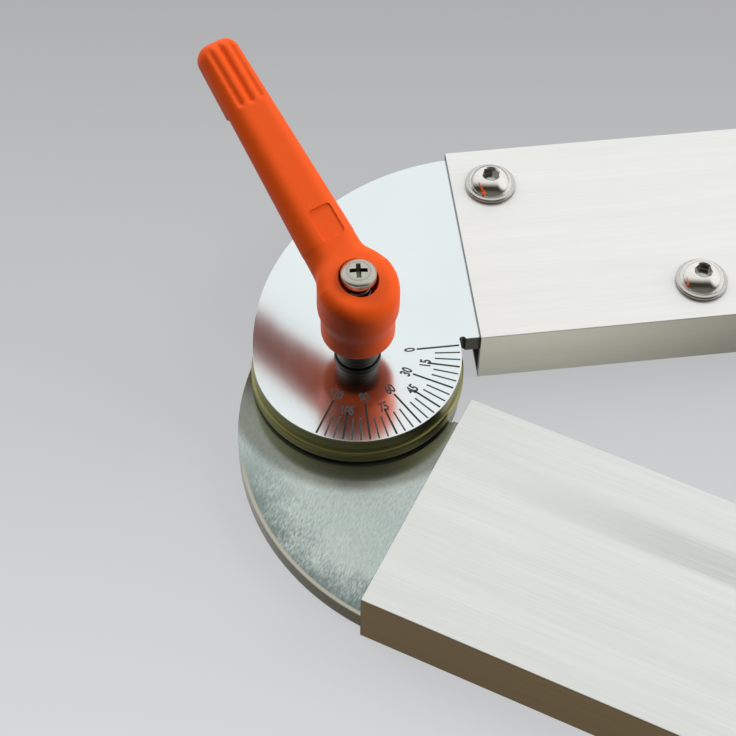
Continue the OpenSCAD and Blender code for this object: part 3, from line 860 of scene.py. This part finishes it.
def arm_form(start, deeper):
    """Tapered bar with a blunt round tip, deeper on its underside by a step, in metres at its place."""
    bm = bmesh.new()
    width, height = arm_width(start), arm_width(start) * ARM_SHARE + deeper
    face = rounded_section(bm, width, height, 0.46 * min(width, height), 8)
    bmesh.ops.translate(bm, vec=(start, 0, 0), verts=bm.verts)
    bmesh.ops.duplicate(bm, geom=[face])
    stations = [start + (ARM_LENGTH - TIP_ROUND - start) * i / 6 for i in range(1, 7)]
    slices = [(x, 0.0) for x in stations]
    slices += [(ARM_LENGTH - TIP_ROUND * (1 - math.sin(a)), TIP_ROUND * (1 - math.cos(a)) * 0.8)
               for a in (math.radians(d) for d in (15, 30, 45, 60, 75, 90))]
    x0, size = start, (width, height)
    for x, inset in slices:
        new = (arm_width(x) - 2 * inset, arm_width(x) * ARM_SHARE + deeper - 2 * inset)
        face = loft_on(bm, face, x - x0, (new[0] / size[0], new[1] / size[1]))
        x0, size = x, new
    bmesh.ops.remove_doubles(bm, verts=bm.verts, dist=1e-4)
    bmesh.ops.recalc_face_normals(bm, faces=bm.faces)
    bm.transform(arm_frame @ raised(-deeper / 2))
    return bm


# %% Cutters of the handle
def grooves_form():
    """Three round cutters that run along the top of the grip and out at its tip."""
    bm = bmesh.new()
    turn = Matrix.Rotation(math.pi / 2 + ARM_FALL, 4, "Y") @ raised(ARM_LENGTH / 2)
    for across in (-GROOVE_PITCH, 0, GROOVE_PITCH):
        place = Matrix.Translation((GRIP_START, across, arm_top(GRIP_START))) @ turn
        bmesh.ops.create_cone(bm, cap_ends=True, segments=24, radius1=GROOVE_R, radius2=GROOVE_R,
                              depth=ARM_LENGTH, matrix=place)
    bm.transform(arm_frame)
    return bm


def bores_form():
    """Guide, clearance over the teeth, shoulder hole and screw recess as one turned cutter."""
    above = HUB_H + 8
    bm = turned([(0, -1), (GUIDE_R, -1), (GUIDE_R, GUIDE_TOP), (TEETH_R, GUIDE_TOP), (TEETH_R, TEETH_TOP),
                 (SHOULDER_R, TEETH_TOP), (SHOULDER_R, SHOULDER_TOP), (RECESS_R, SHOULDER_TOP),
                 (RECESS_R, above), (0, above)])
    bm.transform(raised(hub_z) @ TO_METRES)
    return bm


def label_recess_form():
    """Shallow panel with sloping sides on top of the arm, left bare."""
    bm = bmesh.new()
    bmesh.ops.create_cube(bm, size=1, matrix=Matrix.Diagonal((*PANEL_SIZE, 2.0, 1)))
    upright = [e for e in bm.edges if abs((e.verts[0].co - e.verts[1].co).z) > 1]
    bmesh.ops.bevel(bm, geom=upright, affect="EDGES", offset=1.2, segments=5, profile=0.5, material=-1)
    low = [v for v in bm.verts if v.co.z < 0]
    bmesh.ops.scale(bm, vec=(0.9, 0.88, 1), verts=low)
    place = Matrix.Translation((*PANEL_AT, arm_top(PANEL_AT[0]) + 1.0 - PANEL_DEPTH))
    bm.transform(arm_frame @ place @ Matrix.Rotation(ARM_FALL, 4, "Y"))
    return bm


# %% Melt the handle together
HANDLE_VOXEL = 0.4 * MM
SKIN_PASSES = 4
FILLET_PASSES = 60
FILLET_FROM = 5.0
FILLET_TO = 17.5


def smooth(bm, verts, passes):
    """Moves points towards the middle of their neighbours, some times over."""
    for _ in range(passes):
        bmesh.ops.smooth_vert(bm, verts=verts, factor=0.5, use_axis_x=True, use_axis_y=True, use_axis_z=True)


def build_handle():
    """Arm, grip, grooves and hub melted into one skin, then the panel and the bores cut."""
    handle = as_object(arm_form(3.0, 0.0), "ratchet_handle")
    combine(handle, arm_form(GRIP_START, GRIP_STEP), "UNION")
    combine(handle, grooves_form())
    combine(handle, hub_form(), "UNION")
    remesh = handle.modifiers.new("melt", "REMESH")
    remesh.mode = "VOXEL"
    remesh.voxel_size = HANDLE_VOXEL
    apply_modifiers(handle)
    bm = bmesh.new()
    bm.from_mesh(handle.data)
    smooth(bm, bm.verts[:], SKIN_PASSES)
    back = arm_frame.inverted()
    joint = [v for v in bm.verts if FILLET_FROM < (back @ v.co).x < FILLET_TO
             and v.co.z > hub_z + (COLLAR_H - 5) * MM]
    smooth(bm, joint, FILLET_PASSES)
    bm.to_mesh(handle.data)
    bm.free()
    combine(handle, label_recess_form())
    combine(handle, bores_form())
    return handle


ratchet_handle = build_handle()


# %% Orange plastic
def orange_plastic():
    """Moulded orange plastic, satin, with a very fine grain and a painted highlight along its edges."""
    material, tree, shader = new_material("orange_moulding", Specular_IOR_Level=0.27)
    place = object_place(tree)
    grain = effect(tree, fine_grain, place, Grains_per_metre=2600.0)
    colour = ramp(tree, grain["Grain"], [(0.3, (0.90, 0.098, 0.009)), (0.7, (0.96, 0.116, 0.012))])
    edge = relief(tree, shader, place, grain["Grain"], 0.02 * MM, 0.5, 0.35 * MM)
    # Painted highlight: a lighter orange along the edges
    feed(tree, shader, mix_colours(tree, product(tree, edge, 0.12), colour, (0.95, 0.2, 0.05)),
         ramp(tree, grain["Grain"], [(0.3, 0.42), (0.7, 0.54)]))
    return material


dress(ratchet_handle, orange_plastic(), "handle", 50.0)
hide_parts("lever_handle")

# %% [markdown]
# ## Retaining screw
#
# The handle and its spring are held by a dull pan-head screw in the hub. Its cross recess is deep. The
# head is turned from a profile, and the recess is cut by two crossed wedges, one after the other. A mask
# on the distance from the axis and on the height paints shade into the recess, to make it dark.

# %% Screw metal and screw making
def screw_finish(name, colour, rough, hollow_radius, hollow_top, recess_shade_strength=0.85, axis=(0, 0, 0)):
    """Bright metal with small marks, with painted shade inside the recess round its own axis."""
    material, tree, shader = new_material(name, Metallic=1.0)
    place = object_place(tree, centre=axis)
    grain = effect(tree, fine_grain, place, Grains_per_metre=2200.0)
    shade = ramp(tree, grain["Grain"], [(0.3, [c * 0.84 for c in colour]), (0.7, colour)])
    inside = fall(tree, from_axis(tree, place), hollow_radius, hollow_radius + 0.3 * MM)
    deep = fall(tree, split(tree, place)[2], hollow_top - 0.6 * MM, hollow_top)
    # Painted shade in the recess
    recess_shade = product(tree, inside, deep, recess_shade_strength)
    feed(tree, shader, mix_colours(tree, recess_shade, shade, [c * 0.12 for c in colour]),
         ramp(tree, grain["Grain"], [(0.3, rough * 0.85), (0.7, rough * 1.2)]))
    relief(tree, shader, place, grain["Grain"], 0.006 * MM, 0.4, 0.15 * MM)
    return material


def cut_screw(name, bm, cutters, head, top):
    """A screw in millimetres, cut one cutter after the other, and put with its head's top at a point."""
    screw = as_object(bm, name)
    for cutter in cutters:
        combine(screw, cutter)
    screw.data.transform(Matrix.Translation(top) @ TO_METRES @ raised(-head))
    return screw


# %% Retaining screw
SCREW_HEAD_R = 5.2
SCREW_HEAD_H = 3.5
CROSS_LENGTH = 6.8
CROSS_WIDTH = 1.5
CROSS_DEPTH = 2.3
CROSS_TURN = math.radians(29)

screw_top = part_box("handle_screw")[1].z
screw_length = (screw_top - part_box("handle_screw")[0].z) / MM


def wedge_form(turn):
    """A wedge that gets shorter and thinner downwards, from 1 mm over the head's top."""
    bm = bmesh.new()
    bmesh.ops.create_cube(bm, size=1, matrix=Matrix.Diagonal((CROSS_LENGTH, CROSS_WIDTH, CROSS_DEPTH + 1, 1)))
    bmesh.ops.scale(bm, vec=(0.36, 0.7, 1), verts=[v for v in bm.verts if v.co.z < 0])
    bm.transform(Matrix.Rotation(turn, 4, "Z") @ raised(SCREW_HEAD_H + (1 - CROSS_DEPTH) / 2))
    return bm


def retaining_screw():
    """Pan head with a rounded rim on a plain shank."""
    rim = SCREW_HEAD_H - 1.5
    crown = [(SCREW_HEAD_R * math.cos(a), rim + 1.5 * math.sin(a)) for a in
             (math.radians(d) for d in range(0, 81, 8))]
    foot = SCREW_HEAD_H - screw_length
    bm = turned([(0, foot), (2.1, foot), (2.5, foot + 0.4), (2.5, 0), (SCREW_HEAD_R - 0.3, 0),
                 (SCREW_HEAD_R, 0.3), *crown, (0, SCREW_HEAD_H)])
    wedges = [wedge_form(turn) for turn in (CROSS_TURN, CROSS_TURN + math.pi / 2)]
    return cut_screw("retaining_screw", bm, wedges, SCREW_HEAD_H, (0, 0, screw_top))


# The finish paints shade into the cross recess
retainer = dress(retaining_screw(), screw_finish("dull_screw_steel", (0.60, 0.59, 0.51), 0.3,
                                                 3.5 * MM, screw_top - 0.15 * MM),
                 "clamp", 30.0)
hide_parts("handle_screw")

# %% [markdown]
# ## Return spring
#
# The spring sits round the screw, between its head and the handle's shoulder. When the handle is lifted,
# the spring's upper end stays under the head and its lower end goes up with the shoulder. Here the spring
# rides on the screw's body as one rigid coil, and nothing squashes it.

# %% Return spring
WIRE_R = 0.35 * MM
SPRING_TURNS = 3
SPRING_STEPS = 48


def spring_form(low, high):
    """Round wire wound about the axis, between the corners of a box."""
    bm = bmesh.new()
    start = Matrix.Translation((high.x - WIRE_R, 0, low.z + WIRE_R)) @ Matrix.Rotation(math.pi / 2, 4, "X")
    made = bmesh.ops.create_circle(bm, cap_ends=False, segments=16, radius=WIRE_R, matrix=start)
    steps = SPRING_TURNS * SPRING_STEPS
    climb = (high.z - low.z - 2 * WIRE_R) / steps
    bmesh.ops.spin(bm, geom=made["verts"] + bm.edges[:], cent=(0, 0, 0), axis=(0, 0, 1),
                   angle=SPRING_TURNS * math.tau, dvec=(0, 0, climb), steps=steps)
    bmesh.ops.holes_fill(bm, edges=[e for e in bm.edges if e.is_boundary], sides=0)
    bmesh.ops.recalc_face_normals(bm, faces=bm.faces)
    return bm


spring_low, spring_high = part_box("handle_spring")
spring = dress(as_object(spring_form(spring_low, spring_high), "return_spring"),
               screw_finish("spring_wire_steel", (0.55, 0.55, 0.53), 0.28, 0.0, 0.0),
               "clamp", 50.0)
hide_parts("handle_spring")
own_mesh(spring)

# %% [markdown]
# ## Button-head screws
#
# Two polished button-head screws with hex sockets hold the upper tube on its plate, each on a flat
# washer. The domes mirror the bright room on top and the dark front below, so their shape has to be
# smooth: they are turned from an arc with a small upright rim. The socket is a six-sided cutter with a
# short cone over it for the chamfer.

# %% Button-head screws
BUTTON_R = 7.0
BUTTON_H = 4.4
BUTTON_RIM = 0.2
BUTTON_FLAT = 3.3
SHANK_R = 4.0
SOCKET_FLATS = 5.0
SOCKET_DEPTH = 2.6
# The cone that widens the socket's mouth: its radii, and its heights from the head's top
SOCKET_MOUTH = (2.3, 3.8, -0.55, 0.65)


def outward_arc(start, end, radius, steps):
    """Points from one (radius, height) point to another on an arc that bulges away from the axis."""
    start, end = Vector(start), Vector(end)
    half = (end - start) / 2
    outward = Vector((half.y, -half.x)).normalized()
    centre = start + half - outward * math.sqrt(radius ** 2 - half.length_squared)
    first = math.atan2(start.y - centre.y, start.x - centre.x)
    last = math.atan2(end.y - centre.y, end.x - centre.x)
    turns = [first + (last - first) * i / steps for i in range(steps + 1)]
    return [(centre.x + radius * math.cos(t), centre.y + radius * math.sin(t)) for t in turns]


def button_screw(node, name, socket_turn):
    """A button-head screw on the axis and at the height of the CAD screw that it stands for."""
    low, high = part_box(node)
    shank = BUTTON_H - (high.z - low.z) / MM
    bm = turned([(0, shank), (SHANK_R - 0.5, shank), (SHANK_R, shank + 0.5), (SHANK_R, 0),
                 (BUTTON_R - 0.12, 0), (BUTTON_R, 0.12),
                 *outward_arc((BUTTON_R, BUTTON_RIM), (BUTTON_FLAT, BUTTON_H - 0.12), 7.0, 14),
                 (BUTTON_FLAT - 0.25, BUTTON_H), (0, BUTTON_H)], 128)
    corner = SOCKET_FLATS / 2 / math.cos(math.radians(30))
    cutters = [cone(6, corner, corner, -SOCKET_DEPTH, 1), cone(64, *SOCKET_MOUTH)]
    for cutter in cutters:
        cutter.transform(raised(BUTTON_H) @ Matrix.Rotation(socket_turn, 4, "Z"))
    axis = ((low.x + high.x) / 2, (low.y + high.y) / 2, high.z)
    screw = cut_screw(name, bm, cutters, BUTTON_H, axis)
    # Painted shade inside the hex socket
    finish = screw_finish(name + "_steel", (0.95, 0.94, 0.9), 0.15, 2.6 * MM, -0.5 * MM, 0.5, axis)
    dress(screw, finish, "upper_arm", 30.0)
    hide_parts(node)


button_screw("upper_arm_screw_rear", "button_screw_rear", math.radians(12))
button_screw("upper_arm_screw_fence", "button_screw_fence", math.radians(40))


# %% Washers
WASHER_R = 8.0
WASHER_H = 1.6
WASHER_BORE = 4.2
WASHER_ROUND = 0.85
# The painted shade reaches this far from the pivot, so it lies all round the washers as a painted contact
# shadow along their lower edges
ALL_OVER = 1.0


def washer_pair():
    """Two stamped washers in one piece. The punch has drawn their upper edges round."""
    edge = [(WASHER_R - WASHER_ROUND * (1 - math.cos(a)), WASHER_H - WASHER_ROUND * (1 - math.sin(a)))
            for a in (math.radians(d) for d in range(0, 91, 15))]
    washer = as_object(turned([(0, 0), (WASHER_R - 0.1, 0), (WASHER_R, 0.1), *edge, (0, WASHER_H)], 128),
                       "button_washers")
    combine(washer, cone(64, WASHER_BORE, WASHER_BORE, -2 * WASHER_H, 2 * WASHER_H))
    bm = bmesh.new()
    for node in ("upper_arm_screw_rear", "upper_arm_screw_fence"):
        low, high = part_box(node)
        placed = washer.data.copy()
        axis = ((low.x + high.x) / 2, (low.y + high.y) / 2, tube_top)
        placed.transform(Matrix.Translation(axis) @ TO_METRES)
        bm.from_mesh(placed)
        bpy.data.meshes.remove(placed)
    bm.to_mesh(washer.data)
    bm.free()
    return washer


# Painted contact shadow on the washers' lower edges
washers = dress(washer_pair(), screw_finish("washer_steel", (0.66, 0.65, 0.62), 0.22, ALL_OVER,
                                             tube_top + 0.95 * MM),
                "upper_arm", 40.0)
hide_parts("upper_arm_washers")

# %% [markdown]
# ## Dial ink
#
# The CAD plate has a groove for each line of the dial. On the real plate they are filled with black
# paint, so a thin strip goes into each groove and stands a hundredth of a millimetre proud. The lines
# of whole 15 degrees are wider and blacker than the others. The numbers are text that is made a mesh,
# squeezed narrow as on the real dial, and set round the pivot with their tops towards it.

# %% Ink
LINE_END = 30.75
LINE_LENGTHS = [(30, 12.9), (15, 9.7), (5, 7.6)]
INK_PROUD = 0.01
INK_DEEP = 0.15
DIGIT_H = 3.4
DIGIT_SQUEEZE = 0.66
DIGIT_BOLD = 0.035
DIGIT_CIRCLES = (15.7, 20.4)
# The angles with a long line and a number
WHOLE = range(0, 121, 15)


def ink(name, shade):
    """Matte paint, a little uneven where it was wiped off the face."""
    material, tree, shader = new_material(name)
    grain = effect(tree, fine_grain, object_place(tree), Grains_per_metre=2600.0)["Grain"]
    feed(tree, shader, ramp(tree, grain, [(0.35, shade), (0.75, shade * 1.9)]),
         ramp(tree, grain, [(0.3, 0.4), (0.7, 0.6)]))
    node = add_node(tree, "Bump", [("Height", grain), ("Strength", 0.4), ("Distance", 0.01 * MM)])
    tree.links.new(node.outputs[0], shader.inputs["Normal"])
    return material


def on_dial(angle, radius):
    """A matrix to a radius on the line of an angle, at half the depth of the ink, in millimetres."""
    return (Matrix.Rotation(-math.radians(angle), 4, "Z")
            @ Matrix.Translation((radius, 0, (INK_PROUD - INK_DEEP) / 2)))


def dial_lines(angles, width):
    """Strips in the grooves at those angles, with a length that depends on the angle."""
    bm = bmesh.new()
    for angle in angles:
        length = next(size for step, size in LINE_LENGTHS if angle % step == 0)
        size = Matrix.Diagonal((length, width, INK_DEEP + INK_PROUD, 1))
        bmesh.ops.create_cube(bm, size=1, matrix=on_dial(angle, LINE_END - length / 2) @ size)
    bm.transform(dial_frame)
    return bm


black_ink = ink("black_dial_ink", 0.012)
grey_ink = ink("grey_dial_ink", 0.045)
between = [a for a in range(0, 121, 5) if a % 15]
dress(as_object(dial_lines(WHOLE, 0.62), "dial_lines_wide"), black_ink, "upper_arm")
dress(as_object(dial_lines(between, 0.52), "dial_lines_fine"), grey_ink, "upper_arm")


# %% Numbers of the dial
def text_mesh(text):
    """A text as a mesh, its middle at the origin, as high as a digit and as deep as the ink."""
    curve = bpy.data.curves.new("digits", "FONT")
    curve.body = text
    curve.extrude = 0.02
    curve.offset = DIGIT_BOLD
    curve.resolution_u = 5
    holder = new_object("digits", curve)
    mesh = baked_mesh(holder)
    bpy.data.objects.remove(holder)
    low = Vector([min(v.co[i] for v in mesh.vertices) for i in range(3)])
    high = Vector([max(v.co[i] for v in mesh.vertices) for i in range(3)])
    size = DIGIT_H / (high.y - low.y)
    depth = (INK_DEEP + INK_PROUD) / (high.z - low.z)
    mesh.transform(Matrix.Diagonal((size * DIGIT_SQUEEZE, size, depth, 1))
                   @ Matrix.Translation(-(low + high) / 2))
    return mesh


def dial_numbers():
    """Numbers at every 15 degrees, on two circles, their tops towards the pivot."""
    bm = bmesh.new()
    for angle in WHOLE:
        mesh = text_mesh(str(angle))
        mesh.transform(on_dial(angle, DIGIT_CIRCLES[angle % 30 // 15]) @ Matrix.Rotation(math.pi / 2, 4, "Z"))
        bm.from_mesh(mesh)
        bpy.data.meshes.remove(mesh)
    bm.transform(dial_frame)
    return bm


dress(as_object(dial_numbers(), "dial_numbers"), grey_ink, "upper_arm")
